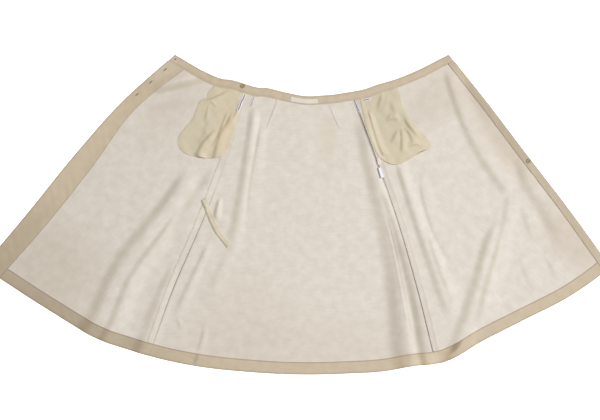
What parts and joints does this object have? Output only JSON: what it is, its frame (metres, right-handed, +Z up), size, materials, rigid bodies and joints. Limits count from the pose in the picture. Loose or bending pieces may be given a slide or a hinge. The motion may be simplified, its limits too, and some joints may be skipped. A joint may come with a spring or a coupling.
{
  "type": "wrap skirt",
  "caption": "A-line wrap skirt laid open and flat, wrong side up, with a shaped waistband, front facings, turned-up hem, side-seam pocket bags and a stay strap.",
  "frame": {"origin": "bottom centre of the cloth's outline box, on the surface that the skirt lies on", "axes": "+Z up out of the surface, +Y from the hem toward the waist, +X toward the underlap front"},
  "size_m": [1.88, 0.9584, 0.0129],
  "materials": {
    "inner_cloth": "matt wrong side with fine horizontal slubs",
    "outer_cloth": "tan face with a slight sheen",
    "seam_cloth": "overlocked allowance",
    "pocket_cloth": "thin yellowish lining cloth",
    "ribbon": "white satin ribbon",
    "label": "bare woven label",
    "button": "olive brown"
  },
  "bodies": {
    "root": {"back_panel": "inner_cloth", "overlap_front_panel": "inner_cloth", "underlap_front_panel": "inner_cloth", "dart_overlap_side": "inner_cloth", "dart_underlap_side": "inner_cloth", "waistband": "outer_cloth", "overlap_facing": "outer_cloth", "underlap_facing": "outer_cloth", "hem_overlap": "outer_cloth", "hem_back": "outer_cloth", "hem_underlap": "outer_cloth", "stay_strap": "outer_cloth", "seam_allowance_overlap_side": "seam_cloth", "seam_allowance_underlap_side": "seam_cloth", "pocket_bag_overlap_side": "pocket_cloth", "pocket_bag_underlap_side": "pocket_cloth", "hanger_loop_overlap_long": "ribbon", "hanger_loop_overlap_short": "ribbon", "hanger_loop_underlap_long": "ribbon", "hanger_loop_underlap_short": "ribbon", "care_label_upper": "ribbon", "care_label_lower": "ribbon", "back_label": "label", "waist_button": "button", "edge_button": "button"}
  },
  "joints": []
}
